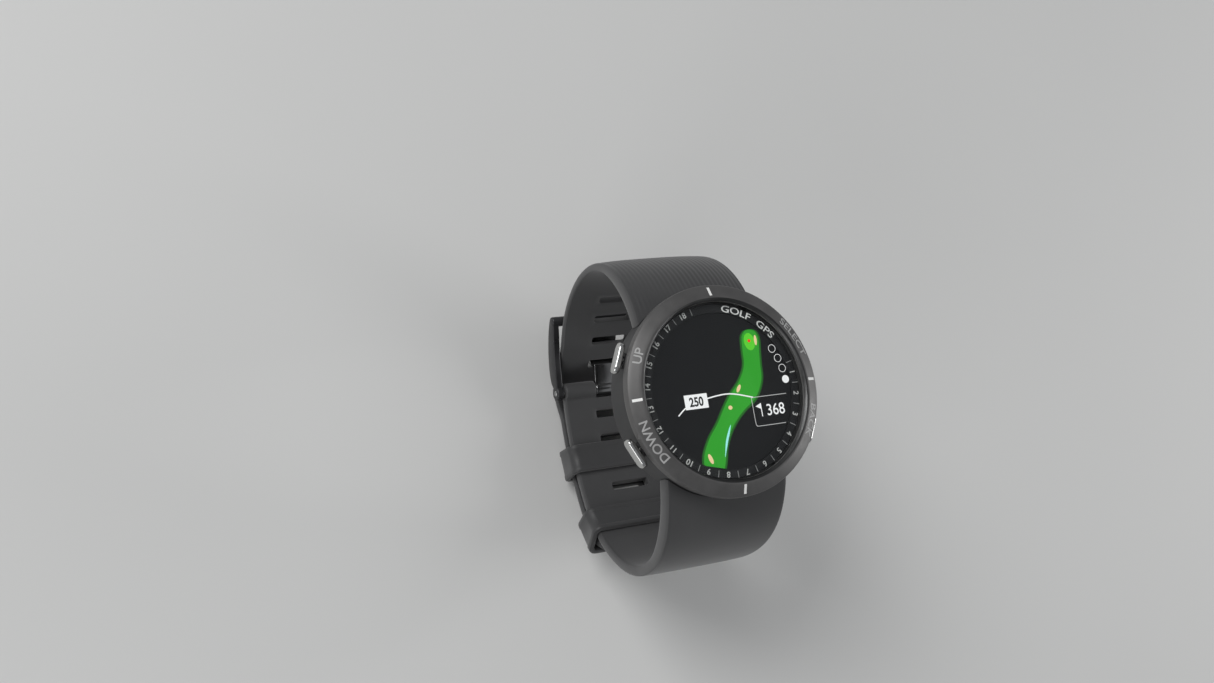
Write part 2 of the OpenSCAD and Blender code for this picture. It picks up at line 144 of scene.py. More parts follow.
CLOUD_SIZE = 9                 # a surface's clouds of colour, as a multiple of its grain
MID_NOISE = (0.3, 0.7)         # where most of a noise's values lie
SPECK_NOISE = (0.62, 0.75)     # its rare peaks, which become specks
SPECK_SIZE, SPECK_LIGHTER = 2.3, 2.2
SMOOTHEST = 0.03
PIXEL_VARY = 0.06


def node(tree, kind, **sockets):
    """A new node. In a socket's name, _ stands for a space."""
    made = tree.nodes.new(kind)
    for name, value in sockets.items():
        made.inputs[name.replace("_", " ")].default_value = value
    return made


def noise(tree, place, **sockets):
    made = node(tree, "ShaderNodeTexNoise", **sockets)
    tree.links.new(place, made.inputs["Vector"])
    return made.outputs["Fac"]


def mapped(tree, source, to_range, from_range=(0.0, 1.0)):
    """The source's values, carried over from one range to another."""
    made = node(tree, "ShaderNodeMapRange", From_Min=from_range[0], From_Max=from_range[1],
                To_Min=to_range[0], To_Max=to_range[1])
    tree.links.new(source, made.inputs["Value"])
    return made.outputs["Result"]


def tinted(tree, source, colour, vary, ends=(0.0, 1.0)):
    """A ramp from a little darker than the colour to a little lighter."""
    ramp = tree.nodes.new("ShaderNodeValToRGB")
    darkest, lightest = ramp.color_ramp.elements
    darkest.position, lightest.position = ends
    darkest.color = (*[c * (1 - vary) for c in colour], 1)
    lightest.color = (*[min(1, c * (1 + vary)) for c in colour], 1)
    tree.links.new(source, ramp.inputs["Fac"])
    return ramp.outputs["Color"]


def material(name, colour, rough, metallic=0.0, grain=400.0, bump=0.15, vary=0.15, rough_vary=0.12,
             stretch=(1, 1, 1), speckle=0.0, sheen=0.0, specular=0.5, bump_mm=0.05):
    """A surface whose grain, cloudy colour and uneven roughness are noise in the object's space."""
    m = bpy.data.materials.new(name)
    m.use_nodes = True
    tree = m.node_tree
    bsdf = tree.nodes["Principled BSDF"]
    link = tree.links.new
    coord = tree.nodes.new("ShaderNodeTexCoord")
    mapping = node(tree, "ShaderNodeMapping", Scale=stretch)
    link(coord.outputs["Object"], mapping.inputs["Vector"])
    place = mapping.outputs["Vector"]
    cloud = noise(tree, place, Scale=grain / CLOUD_SIZE, Detail=4.0, Roughness=0.6)
    fine = noise(tree, place, Scale=grain, Detail=6.0, Roughness=0.65)
    tint = tinted(tree, cloud, colour, vary, MID_NOISE)
    if speckle:
        dust = noise(tree, place, Scale=grain * SPECK_SIZE, Detail=2.0)
        light = (*[min(1, c * SPECK_LIGHTER + 0.02) for c in colour], 1)
        blend = node(tree, "ShaderNodeMixRGB", Color2=light)
        link(mapped(tree, dust, (0, speckle), SPECK_NOISE), blend.inputs["Fac"])
        link(tint, blend.inputs["Color1"])
        tint = blend.outputs["Color"]
    link(tint, bsdf.inputs["Base Color"])
    roughness = (max(SMOOTHEST, rough - rough_vary), min(1, rough + rough_vary))
    link(mapped(tree, cloud, roughness, MID_NOISE), bsdf.inputs["Roughness"])
    raised = node(tree, "ShaderNodeBump", Strength=bump, Distance=bump_mm * MM)
    link(fine, raised.inputs["Height"])
    link(raised.outputs["Normal"], bsdf.inputs["Normal"])
    bsdf.inputs["Metallic"].default_value = metallic
    bsdf.inputs["Sheen Weight"].default_value = sheen
    bsdf.inputs["Sheen Roughness"].default_value = 0.5
    bsdf.inputs["Specular IOR Level"].default_value = specular
    return m


def lit(name, colour, strength):
    """A lit part of the display, whose pixels vary a little."""
    m = material(name, [c * 0.3 for c in colour], 0.5, grain=3000, bump=0.02, vary=0.05)
    tree = m.node_tree
    bsdf = tree.nodes["Principled BSDF"]
    coord = tree.nodes.new("ShaderNodeTexCoord")
    pixels = noise(tree, coord.outputs["Object"], Scale=2500.0, Detail=2.0)
    tree.links.new(tinted(tree, pixels, colour, PIXEL_VARY), bsdf.inputs["Emission Color"])
    bsdf.inputs["Emission Strength"].default_value = strength
    return m


def clear_glass():
    """A thin pane: what is behind it shows, under a little gloss."""
    m = bpy.data.materials.new("lens_glass")
    m.use_nodes = True
    tree = m.node_tree
    tree.nodes.remove(tree.nodes["Principled BSDF"])
    out = tree.nodes["Material Output"]
    through = node(tree, "ShaderNodeBsdfTransparent", Color=(0.97, 0.98, 0.98, 1))
    coord = tree.nodes.new("ShaderNodeTexCoord")
    smear = noise(tree, coord.outputs["Object"], Scale=120.0, Detail=3.0)
    gloss = node(tree, "ShaderNodeBsdfGlossy", Color=(1, 1, 1, 1))
    tree.links.new(mapped(tree, smear, (0.03, 0.07)), gloss.inputs["Roughness"])
    edge = node(tree, "ShaderNodeFresnel", IOR=1.2)
    share = tree.nodes.new("ShaderNodeMixShader")
    tree.links.new(edge.outputs["Fac"], share.inputs["Fac"])
    tree.links.new(through.outputs["BSDF"], share.inputs[1])
    tree.links.new(gloss.outputs["BSDF"], share.inputs[2])
    tree.links.new(share.outputs["Shader"], out.inputs["Surface"])
    return m


rubber = material("strap_silicone", (0.043, 0.043, 0.044), 0.56, grain=1500, bump=0.22, vary=0.05,
                  rough_vary=0.03, speckle=0.06, sheen=0.22, specular=0.38, bump_mm=0.03)
keeper_rubber = material("keeper_silicone", (0.036, 0.036, 0.037), 0.52, grain=1500, bump=0.2,
                         vary=0.05, rough_vary=0.03, speckle=0.05, sheen=0.2, specular=0.4,
                         bump_mm=0.03)
bezel_paint = material("bezel_satin", (0.105, 0.103, 0.102), 0.47, metallic=0.5, grain=2600,
                       bump=0.2, vary=0.08, rough_vary=0.06, speckle=0.12, bump_mm=0.02)
bezel_lip = material("bezel_polished_lip", (0.07, 0.07, 0.07), 0.4, metallic=1.0, grain=1500,
                     bump=0.05, vary=0.08)
case_plastic = material("case_dark", (0.019, 0.019, 0.02), 0.5, grain=1600, bump=0.25, vary=0.06,
                        rough_vary=0.04, speckle=0.06)
steel = material("button_steel", (0.56, 0.56, 0.55), 0.17, metallic=1.0, grain=900, bump=0.03,
                 vary=0.05, rough_vary=0.05, stretch=(1, 1, 6), bump_mm=0.02)
pin_steel = material("pin_steel", (0.42, 0.42, 0.42), 0.2, metallic=1.0, grain=900, bump=0.03,
                     vary=0.05, rough_vary=0.05, stretch=(5, 1, 1), bump_mm=0.01)
buckle_metal = material("buckle_dark", (0.045, 0.045, 0.047), 0.36, metallic=0.6, grain=1800,
                        bump=0.12, vary=0.1, speckle=0.1)
ring_black = material("number_ring", (0.012, 0.012, 0.013), 0.4, grain=1800, bump=0.1)
screen_black = material("display_black", (0.006, 0.006, 0.007), 0.3, grain=1400, bump=0.01,
                        vary=0.04, rough_vary=0.01)
print_light = material("printed_light", (0.62, 0.62, 0.6), 0.6, grain=2500, bump=0.1, vary=0.08)
print_white = material("printed_white", (0.85, 0.85, 0.83), 0.5, grain=2500, bump=0.1, vary=0.05)
letter_grey = material("letter_grey", (0.36, 0.36, 0.355), 0.5, grain=2500)
seal_rubber = material("seal_rubber", (0.02, 0.02, 0.02), 0.7, grain=1200, bump=0.2)
glass = clear_glass()

SLOT_MATERIALS = {
    "case_dark": case_plastic,
    "bezel_metal": bezel_paint,
    "white_print": print_white,
    "lens_glass": glass,
    "seal_rubber": seal_rubber,
    "number_ring": ring_black,
    "display": screen_black,
    "carrier_plastic": material("carrier_plastic", (0.05, 0.05, 0.055), 0.6, grain=900),
    "flex_film": material("flex_film", (0.5, 0.25, 0.06), 0.4, grain=700, vary=0.2),
    "board_green": material("board_green", (0.02, 0.14, 0.06), 0.4, grain=500, vary=0.25),
    "shield_tin": material("shield_tin", (0.6, 0.6, 0.6), 0.35, metallic=1.0, grain=700),
    "chip_black": material("chip_black", (0.03, 0.03, 0.03), 0.55, grain=1500),
    "ceramic": material("ceramic", (0.55, 0.45, 0.28), 0.6, grain=900),
    "battery_foil": material("battery_foil", (0.55, 0.55, 0.56), 0.35, metallic=0.9, grain=600,
                             bump=0.3),
    "screw_steel": material("screw_steel", (0.5, 0.5, 0.5), 0.3, metallic=1.0, grain=900),
    "contact_gold": material("contact_gold", (0.83, 0.6, 0.25), 0.22, metallic=1.0, grain=900,
                             bump=0.06),
    "button_steel": steel,
    "strap_silicone": rubber,
    "pin_steel": pin_steel,
    "buckle_metal": buckle_metal,
}

CAD_WELD, CAD_CRISP_ANGLE = 0.002, 28

for part in frame["record"]["subparts"]:
    shown = nodes[part["node"]]
    shown.data.materials.clear()
    shown.data.materials.append(SLOT_MATERIALS[part["material_slot"]])
    for face in shown.data.polygons:
        face.use_smooth = True
    weld = shown.modifiers.new("weld", "WELD")
    weld.merge_threshold = CAD_WELD * MM
    split = shown.modifiers.new("crisp_edges", "EDGE_SPLIT")
    split.split_angle = math.radians(CAD_CRISP_ANGLE)


# ---- Mesh helpers ----

NEAR_AXIS = 0.001       # a solid lathe's profile starts here, as a mesh can't pinch on its axis
ROD_STEPS = 48
BEVEL_STEPS, BEVEL_ANGLE = 4, 35


def new_object(name, shape):
    """A Shape as an object in the scene, with its normals turned outward."""
    mesh = bpy.data.meshes.new(name)
    mesh.from_pydata([tuple(v) for v in shape.verts], [], shape.faces)
    bm = bmesh.new()
    bm.from_mesh(mesh)
    bmesh.ops.recalc_face_normals(bm, faces=bm.faces)
    bm.to_mesh(mesh)
    bm.free()
    obj = bpy.data.objects.new(name, mesh)
    bpy.context.scene.collection.objects.link(obj)
    return obj


def shade(obj, degrees):
    """Smooth shading, crisp at edges sharper than this."""
    obj.data.shade_smooth()
    obj.data.set_sharp_from_angle(angle=math.radians(degrees))


def bake(obj):
    """Puts the modifiers' result in the object's mesh."""
    graph = bpy.context.evaluated_depsgraph_get()
    graph.update()
    made = bpy.data.meshes.new_from_object(obj.evaluated_get(graph))
    obj.modifiers.clear()
    obj.data = made


def piece(name, shape, mat, body, replaces=(), smooth=30, bevel=0.0):
    """A new shown piece, riding on a body."""
    obj = new_object(name, shape)
    obj.data.materials.append(mat)
    if bevel:
        rounded = obj.modifiers.new("rounded_edges", "BEVEL")
        rounded.width = bevel * MM
        rounded.segments = BEVEL_STEPS
        rounded.limit_method = "ANGLE"
        rounded.angle_limit = math.radians(BEVEL_ANGLE)
        bake(obj)
    shade(obj, smooth)
    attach(obj, body)
    if replaces:
        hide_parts(*replaces)
    return obj


def cut(obj, cutter_shape):
    """Cuts a shape out of a piece."""
    cutter = new_object("cutter", cutter_shape)
    opening = obj.modifiers.new("openings", "BOOLEAN")
    opening.operation = "DIFFERENCE"
    opening.solver = "EXACT"
    opening.object = cutter
    bake(obj)
    bpy.data.objects.remove(cutter)
    shade(obj, 30)


class Shape:
    """Vertices, in metres, and faces gathered from several solids."""

    def __init__(self):
        self.verts, self.faces = [], []

    def add(self, verts, faces):
        start = len(self.verts)
        self.verts += list(verts)
        self.faces += [tuple(start + i for i in f) for f in faces]

    def loft(self, rings, closed=False):
        """Joins rings of the same length: closed in a circle, or else with a cap at each end."""
        n = len(rings[0])
        verts = [v for ring in rings for v in ring]
        faces = []
        for j in range(len(rings) if closed else len(rings) - 1):
            a, b = j * n, (j + 1) % len(rings) * n
            faces += [(a + i, a + (i + 1) % n, b + (i + 1) % n, b + i) for i in range(n)]
        if not closed:
            faces += [tuple(range(n)), tuple(range((len(rings) - 1) * n, len(rings) * n))]
        self.add(verts, faces)

    def lathe(self, profile, steps, place):
        """Turns a closed profile of (radius, height) by place(radius, angle, height)."""
        rings = [[place(r, 2 * math.pi * k / steps, h) for r, h in profile] for k in range(steps)]
        self.loft(rings, closed=True)


def about_dial(r, angle, z):
    return at(r * math.sin(angle), r * math.cos(angle), z)


def about_x(centre_yz):
    def place(r, angle, x):
        return at(x, centre_yz[0] + r * math.cos(angle), centre_yz[1] + r * math.sin(angle))
    return place


def rod(shape, centre_yz, x_from, x_to, r, edge, r_in=NEAR_AXIS):
    """A rod along X with rims of radius edge, solid or with a bore of radius r_in."""
    arc = [(r - edge + edge * math.sin(a), edge - edge * math.cos(a))
           for a in (0, 0.4, 0.8, 1.2, math.pi / 2)]
    profile = [(r_in, x_from)] + [(q, x_from + d) for q, d in arc]
    profile += [(q, x_to - d) for q, d in reversed(arc)] + [(r_in, x_to)]
    shape.lathe(profile, ROD_STEPS, about_x(centre_yz))


def prism(shape, outline, x_from, x_to):
    """An outline of points (y, z), carried along X."""
    n = len(outline)
    verts = [at(x, y, z) for x in (x_from, x_to) for y, z in outline]
    faces = [(i, (i + 1) % n, n + (i + 1) % n, n + i) for i in range(n)]
    shape.add(verts, faces + [tuple(range(n)), tuple(range(n, 2 * n))])


def smooth_path(points, per_step):
    """A Catmull-Rom path through points of any number of values, the end points included."""
    padded = [points[0], *points, points[-1]]
    path = []
    for a, b, c, d in zip(padded, padded[1:], padded[2:], padded[3:]):
        for k in range(per_step):
            t = k / per_step
            path.append(tuple(
                0.5 * (2 * q + (r - p) * t + (2 * p - 5 * q + 4 * r - w) * t * t
                       + (3 * q - p - 3 * r + w) * t ** 3)
                for p, q, r, w in zip(a, b, c, d)))
    return path + [tuple(points[-1])]


# ---- Strap ----
# A cross-section is a ring of points: the outer face from left to right, the right edge, the wrist
# face from right to left, and the left edge.

INNER_X = 6.5                      # the columns inside this half width stay straight, for the slots
INNER_STEPS, OUTER_STEPS = 44, 27
FACE_N = INNER_STEPS + 2 * OUTER_STEPS + 1
EDGE_R, EDGE_STEPS = 0.8, 8
STATION_STEP = 1.3
TIP_R, TIP_STEPS = 6, 14           # the tip's rounded corners
TIP_EDGE, TIP_THINNEST = 1.1, 0.12
SLOT_HALF_X, SLOT_HALF_S, SLOT_ROUND = 5.0, 1.0, 0.5
SLOT_REACH, SLOT_STEPS = 2.25, 6   # the region round a slot that its walls take the place of
SLOT_LIP = 0.3
EDGE_BULGE, EDGE_FLATNESS = 0.55, 0.7      # powers, under 1 for an edge squarer than a half circle
UPPER_CROWN, LOWER_CROWN = 0.3, 0.12
UPPER_THICKER_S, LOWER_THICKER_S, THICKER_SPAN = 52, 56, 20
RIB_DEPTH, RIB_FROM_S, RIB_TO_S = 0.1, 47, 79
RIB_WAVE = (0, 0.5, 1, 0.5)                # by column
CASE_R, CASE_GAP = 22.4, 0.15
WALL_HALF_X = 15.5                         # beyond this the case's wall is taken as straight
FARTHEST_S, HALVINGS = 100.0, 26


def slot_outline(x, ds, grow):
    """The slot's rounded outline, at the point for (x, ds) on the rim of its region."""
    hx, hs, r = SLOT_HALF_X + grow, SLOT_HALF_S + grow, SLOT_ROUND + grow
    px, ps = x / INNER_X * hx, ds / SLOT_REACH * hs
    qx, qs = max(min(px, hx - r), r - hx), max(min(ps, hs - r), r - hs)
    d = math.hypot(px - qx, ps - qs)
    return (qx + (px - qx) / d * r, qs + (ps - qs) / d * r) if d > 1e-6 else (px, ps)


def strap_stations(s_start, s_end, slots, tip):
    """Stations along a strap half, closer at its slots and its tip."""
    marks = {round(c + SLOT_REACH * (2 * k / SLOT_STEPS - 1), 4)
             for c in slots for k in range(SLOT_STEPS + 1)}
    marks |= {s_start, s_end}
    if tip:
        marks |= {round(s_start + TIP_R * (k / TIP_STEPS) ** 1.8, 4) for k in range(TIP_STEPS + 1)}
    marks = sorted(marks)
    stations = []
    for a, b in zip(marks, marks[1:]):
        parts = max(1, math.ceil((b - a) / STATION_STEP))
        stations += [mix(a, b, k / parts) for k in range(parts)]
    return stations + [marks[-1]]


def wall_station(side, fit_s, x, v):
    """The station where the strap meets the case's round wall, by halving."""
    want = math.sqrt((CASE_R + CASE_GAP) ** 2 - min(abs(x), WALL_HALF_X) ** 2)
    near, far = abs(fit_s), FARTHEST_S
    for _ in range(HALVINGS):
        half = (near + far) / 2
        if abs(loop_at(side * half, v)[0]) > want:
            near = half
        else:
            far = half
    return side * near


def strap_section(w, t, crown, rib):
    """One cross-section as points (x, v). The crown is the share by which its edges are thinner."""
    inner = INNER_X * min(1, (w - EDGE_R) / (FREE_HALF_W - EDGE_R))
    xs = [-(w - EDGE_R) + (w - EDGE_R - inner) * k / OUTER_STEPS for k in range(OUTER_STEPS)]
    columns = [-1 + 2 * k / INNER_STEPS for k in range(INNER_STEPS + 1)]
    xs = xs + [c * inner for c in columns] + [-x for x in reversed(xs)]
    half = [t / 2 * (1 - crown * (abs(x) / w) ** 3) for x in xs]
    outer = [(x, h - rib * RIB_WAVE[i % 4]) for i, (x, h) in enumerate(zip(xs, half))]
    edge = []
    for k in range(1, EDGE_STEPS):
        a = math.pi * k / EDGE_STEPS
        out = abs(math.sin(a)) ** EDGE_BULGE
        rise = math.copysign(abs(math.cos(a)) ** EDGE_FLATNESS, math.cos(a))
        edge.append((w - EDGE_R + EDGE_R * out, half[-1] * rise))
    wrist = [(x, -h) for x, h in zip(reversed(xs), reversed(half))]
    return outer + edge + wrist + [(-x, -v) for x, v in edge]


def strap(s_start, s_end, fit_s, mid, thick, slots, crown, ribs=None, tip=False):
    """A strap half along the loop, with its slots, as a Shape. Past fit_s it runs to the case."""
    side = 1 if fit_s > 0 else -1
    top_s = s_end if side > 0 else s_start
    stations = strap_stations(s_start, s_end, slots, tip)

    def width_at(s):
        w = half_width(s)
        if tip and s - s_start < TIP_R:
            d = TIP_R - (s - s_start)
            w = w - TIP_R + math.sqrt(max(TIP_R ** 2 - d * d, 0.01))
        return w

    def thick_at(s):
        t = thick(s)
        if tip and s - s_start < TIP_EDGE:
            rounding = math.sqrt(max(1 - (1 - (s - s_start) / TIP_EDGE) ** 2, 0))
            t *= max(rounding, TIP_THINNEST)
        return t

    def point(s, x, v):
        v += mid(s)
        if (s - fit_s) * side > 0:
            s = mix(fit_s, wall_station(side, fit_s, x, v), (s - fit_s) / (top_s - fit_s))
        return on_loop(x, s, v)

    rings = [strap_section(width_at(s), thick_at(s), crown, ribs(s) if ribs else 0)
             for s in stations]
    n = len(rings[0])
    verts = [point(s, x, v) for s, ring in zip(stations, rings) for x, v in ring]
    first_in, last_in = OUTER_STEPS, OUTER_STEPS + INNER_STEPS
    wrist_start, wrist_end = FACE_N + EDGE_STEPS - 1, 2 * FACE_N + EDGE_STEPS - 2

    # The slots' regions, left out of both faces
    spans, holes = [], set()
    for c in slots:
        low, high = (min(range(len(stations)), key=lambda k: abs(stations[k] - rim))
                     for rim in (c - SLOT_REACH, c + SLOT_REACH))
        spans.append((c, low, high))
        holes |= {(j, i) for j in range(low, high) for i in range(first_in, last_in)}
    faces = []
    for j in range(len(stations) - 1):
        for i in range(n):
            column = wrist_end - i - 1 if i >= wrist_start else i
            if (j, column) not in holes:
                k = (i + 1) % n
                faces.append((j * n + i, j * n + k, (j + 1) * n + k, (j + 1) * n + i))

    # The two ends, in strips so that they can bend round the case
    for start in (0, (len(stations) - 1) * n):
        faces += [(start + i, start + i + 1, start + wrist_end - i - 1, start + wrist_end - i)
                  for i in range(FACE_N - 1)]
        faces.append(tuple(range(start + FACE_N - 1, start + FACE_N + EDGE_STEPS)))
        faces.append((*range(start + wrist_end, start + n), start))

    # Each slot: from the rim of its region in to its outline, down its wall and out again
    for c, low, high in spans:
        rim = [(low, i) for i in range(first_in, last_in)]
        rim += [(j, last_in) for j in range(low, high)]
        rim += [(high, i) for i in range(last_in, first_in, -1)]
        rim += [(j, first_in) for j in range(high, low, -1)]
        h = thick(c) / 2
        lip = ((SLOT_LIP, 0), (SLOT_LIP * 0.3, SLOT_LIP * 0.3), (0, SLOT_LIP))
        levels = [(grow, h - deep) for grow, deep in lip]
        levels += [(grow, deep - h) for grow, deep in reversed(lip)]
        loops = [[j * n + i for j, i in rim]]
        for grow, v in levels:
            start = len(verts)
            for j, i in rim:
                x, ds = slot_outline(rings[j][i][0], stations[j] - c, grow)
                verts.append(point(c + ds, x, v))
            loops.append(list(range(start, start + len(rim))))
        loops.append([j * n + wrist_end - i for j, i in rim])
        for a, b in zip(loops, loops[1:]):
            faces += zip(a, a[1:] + a[:1], b[1:] + b[:1], b)

    shape = Shape()
    shape.add(verts, faces)
    return shape


LUG_TOP_Z = -8.05
LUG_IN_X, LUG_OUT_X = 10.85, 13.95
KNOB_X, KNOB_HALF_Y = (6.2, 9.3), 0.72


def lug_openings(eye):
    """Cutters round the case's two lugs, and for the knob of the spring bar, by its eye (y, z)."""
    side = -1 if eye[0] < 0 else 1
    y, z = abs(eye[0]), eye[1]
    under_z = z - 8
    lug = [(14, LUG_TOP_Z), (19, LUG_TOP_Z), (y + 0.6, z + 1.4), (y + 1.5, z + 0.2),
           (y + 1.5, under_z), (14, under_z)]
    knob = [(y - KNOB_HALF_Y, under_z), (y + KNOB_HALF_Y, under_z),
            (y + KNOB_HALF_Y, z), (y - KNOB_HALF_Y, z)]
    shape = Shape()
    for outline, x_from, x_to in ((lug, -LUG_OUT_X, -LUG_IN_X), (lug, LUG_IN_X, LUG_OUT_X),
                                  (knob, *KNOB_X)):
        prism(shape, [(side * p, q) for p, q in outline], x_from, x_to)
    return shape


HINGE = loop_at(HINGE_S)
PIN_R, PIN_BORE_R = 0.8, 0.84
TONGUE_HALF_X = 4.2
MOUTH_HALF_X = 4.5
BARREL_R, BARREL_BORE_R, BARREL_END_X = 2.3, 0.82, 12.95

upper_slots = [TONGUE_S + SLOT_PITCH * k for k in range(-5, 4)]
lower_slots = [HINGE_S - SLOT_PITCH * k for k in range(1, 6)]


def upper_thick(s):
    return mix(TAIL_T, LUG_T, ease((s - UPPER_THICKER_S) / THICKER_SPAN))


def lower_thick(s):
    return mix(STRAP_T, LUG_T, ease((-s - LOWER_THICKER_S) / THICKER_SPAN))


def upper_ribs(s):
    """Depth of the grooves that run along the strap's back."""
    return RIB_DEPTH * ease((s - RIB_FROM_S) / 7) * ease((RIB_TO_S - s) / 5)


tail = strap(TIP_S, UPPER_TOP_S, UPPER_FIT_S, tail_mid, upper_thick, upper_slots, UPPER_CROWN,
             ribs=upper_ribs, tip=True)
strap_upper = piece("strap_upper_silicone", tail, rubber, "watch",
                    ["strap_upper"])
cut(strap_upper, lug_openings(loop_at(UPPER_BAR_S)))

buckle_half = strap(LOWER_TOP_S, HINGE_S - 0.4, LOWER_FIT_S, lambda s: 0.0, lower_thick,
                    lower_slots, LOWER_CROWN)
strap_lower = piece("strap_lower_silicone", buckle_half, rubber, "watch",
                    ["strap_lower"])
openings = lug_openings(loop_at(LOWER_BAR_S))
mouth = [loop_at(HINGE_S + ds, v) for ds, v in ((-2.2, 5), (4, 5), (4, -5), (-2.2, -5))]
prism(openings, mouth, -MOUTH_HALF_X, MOUTH_HALF_X)
cut(strap_lower, openings)

barrels = Shape()
for x_from, x_to in ((-BARREL_END_X, -MOUTH_HALF_X), (MOUTH_HALF_X, BARREL_END_X)):
    rod(barrels, HINGE, x_from, x_to, BARREL_R, edge=0.5, r_in=BARREL_BORE_R)
piece("strap_lower_barrels", barrels, rubber, "watch")


# ---- Keepers ----

KEEPER_L, KEEPER_WALL = 7.2, 1.4
KEEPER_HALF_X, KEEPER_CORNER = 13.25, 1.0
KEEPER_V = (-STRAP_T / 2 - 0.2, LAP + TAIL_T / 2 + 0.5)     # its opening, round both strap layers
KEEPER_CORNER_STEPS, KEEPER_STEP = 8, 1.5


def keeper(name, s, body, node_name):
    """A loop round a rounded rectangle, with rounded edges and a raised rib along each rim."""
    x_mid, r = KEEPER_HALF_X - KEEPER_CORNER, KEEPER_CORNER
    v_low, v_high = KEEPER_V[0] + r, KEEPER_V[1] - r
    path = []
    for cx, cv, turn in ((x_mid, v_high, 0), (-x_mid, v_high, 90),
                         (-x_mid, v_low, 180), (x_mid, v_low, 270)):
        for k in range(KEEPER_CORNER_STEPS + 1):
            a = math.radians(turn + 90 * k / KEEPER_CORNER_STEPS)
            path.append((cx + r * math.cos(a), cv + r * math.sin(a), math.cos(a), math.sin(a)))
    full = []
    for p, q in zip(path, path[1:] + path[:1]):
        steps = max(1, round(math.hypot(q[0] - p[0], q[1] - p[1]) / KEEPER_STEP))
        full += [tuple(mix(a, b, k / steps) for a, b in zip(p, q)) for k in range(steps)]
    end, wall = KEEPER_L / 2, KEEPER_WALL
    profile = [(-end + 0.35, 0), (end - 0.35, 0), (end - 0.1, 0.1), (end, 0.35), (end, wall - 0.4),
               (end - 0.12, wall - 0.12), (end - 0.4, wall), (end - 1.1, wall),
               (end - 1.35, wall - 0.16), (-end + 1.35, wall - 0.16), (-end + 1.1, wall),
               (-end + 0.4, wall), (-end + 0.12, wall - 0.12), (-end, wall - 0.4), (-end, 0.35),
               (-end + 0.1, 0.1)]
    shape = Shape()
    shape.loft([[on_loop(x + nx * out, s + ds, v + nv * out) for ds, out in profile]
                for x, v, nx, nv in full], closed=True)
    piece(name, shape, keeper_rubber, body, [node_name], smooth=40)


keeper("keeper_fixed_loop", FIXED_KEEPER_S, "watch", "keeper_fixed")
keeper("keeper_sliding_loop", SLIDING_KEEPER_S, "keeper_sliding", "keeper_sliding")


# ---- Buckle ----

ARM_IN, ARM_OUT = 13.4, 15.1
EYE_R = 1.9
BAR_R = 1.25
BAR_V = TAIL_T / 2 + 0.35 + BAR_R
EYE_PROUD, PIN_PROUD = 0.06, 0.15      # past the arms, so that no two end faces share a plane
TONGUE_T = 0.8
TONGUE_BARREL_R = 1.6
REST_V = TAIL_T / 2 + 0.35 + 2 * BAR_R - 0.2      # the tongue's underside, in the bar's notch

# The side of an arm, as (station, inner height, outer height)
arm_edges = smooth_path([(HINGE_S + 1.2, -1.15, 1.5), (HINGE_S + 3, -1.1, 2.7),
                         (HINGE_S + 6, -0.8, 3.4), (HINGE_S + 9, -0.4, 3.7),
                         (HINGE_S + 12, 0.1, 3.9), (HINGE_S + 15, 0.8, 4.1), (BAR_S, 1.8, 4.1)], 4)
arm = [loop_at(s, high) for s, low, high in arm_edges]
arm += [loop_at(s, low) for s, low, high in reversed(arm_edges)]
arms, eyes_and_bar = Shape(), Shape()
for x_from, x_to in ((-ARM_OUT, -ARM_IN), (ARM_IN, ARM_OUT)):
    prism(arms, arm, x_from, x_to)
    rod(eyes_and_bar, HINGE, x_from - EYE_PROUD, x_to + EYE_PROUD, EYE_R, edge=0.35,
        r_in=PIN_BORE_R)
rod(eyes_and_bar, loop_at(BAR_S, BAR_V), -ARM_OUT - EYE_PROUD, ARM_OUT + EYE_PROUD, BAR_R, edge=0.4)
piece("buckle_frame_arms", arms, buckle_metal, "buckle_frame", ["buckle_frame"],
      bevel=0.4)
piece("buckle_frame_bar", eyes_and_bar, buckle_metal, "buckle_frame")

pin = Shape()
rod(pin, HINGE, -ARM_OUT - PIN_PROUD, ARM_OUT + PIN_PROUD, PIN_R, edge=0.3)
piece("buckle_pin_rod", pin, pin_steel, "watch", ["buckle_pin"])

tongue_top = smooth_path([(TONGUE_S - 0.15, 3.2), (TONGUE_S + 0.4, REST_V + 0.6),
                          (TONGUE_S + 2, REST_V + TONGUE_T), (TONGUE_S + 5, REST_V + TONGUE_T),
                          (TONGUE_S + 8, REST_V + TONGUE_T), (BAR_S, REST_V + TONGUE_T),
                          (BAR_S + 1.6, REST_V + 0.7)], 4)
tongue_low = smooth_path([(BAR_S + 1.6, REST_V), (BAR_S, REST_V), (TONGUE_S + 8, REST_V),
                          (TONGUE_S + 5, REST_V), (TONGUE_S + 2, REST_V), (TONGUE_S + 0.75, 2.6)],
                         4)
tongue_line = [(HINGE_S + 0.5, -0.1), (HINGE_S + 3, -0.1), (TONGUE_S - 0.85, -0.1)]
tongue_line += tongue_top + tongue_low
tongue_line += [(TONGUE_S, -0.9), (HINGE_S + 3, -0.9), (HINGE_S + 0.5, -0.9)]
tongue = Shape()
prism(tongue, [loop_at(s, v) for s, v in tongue_line], -TONGUE_HALF_X, TONGUE_HALF_X)
piece("buckle_tongue_plate", tongue, pin_steel, "buckle_tongue", ["buckle_tongue"],
      bevel=0.18)
barrel = Shape()
rod(barrel, HINGE, -TONGUE_HALF_X, TONGUE_HALF_X, TONGUE_BARREL_R, edge=0.25, r_in=PIN_BORE_R)
piece("buckle_tongue_barrel", barrel, pin_steel, "buckle_tongue")


# ---- Bezel, lens and buttons ----

BEZEL_R = 23.25
CONE_R, CONE_RUN = 20.5, 2.1           # the sloping face starts at CONE_R, 2.1 mm out per mm down
BEZEL_STEPS, LENS_STEPS = 256, 128
LIP_IN_R, LIP_OUT_R, LIP_LOW_Z = 19.41, 20.05, -0.7


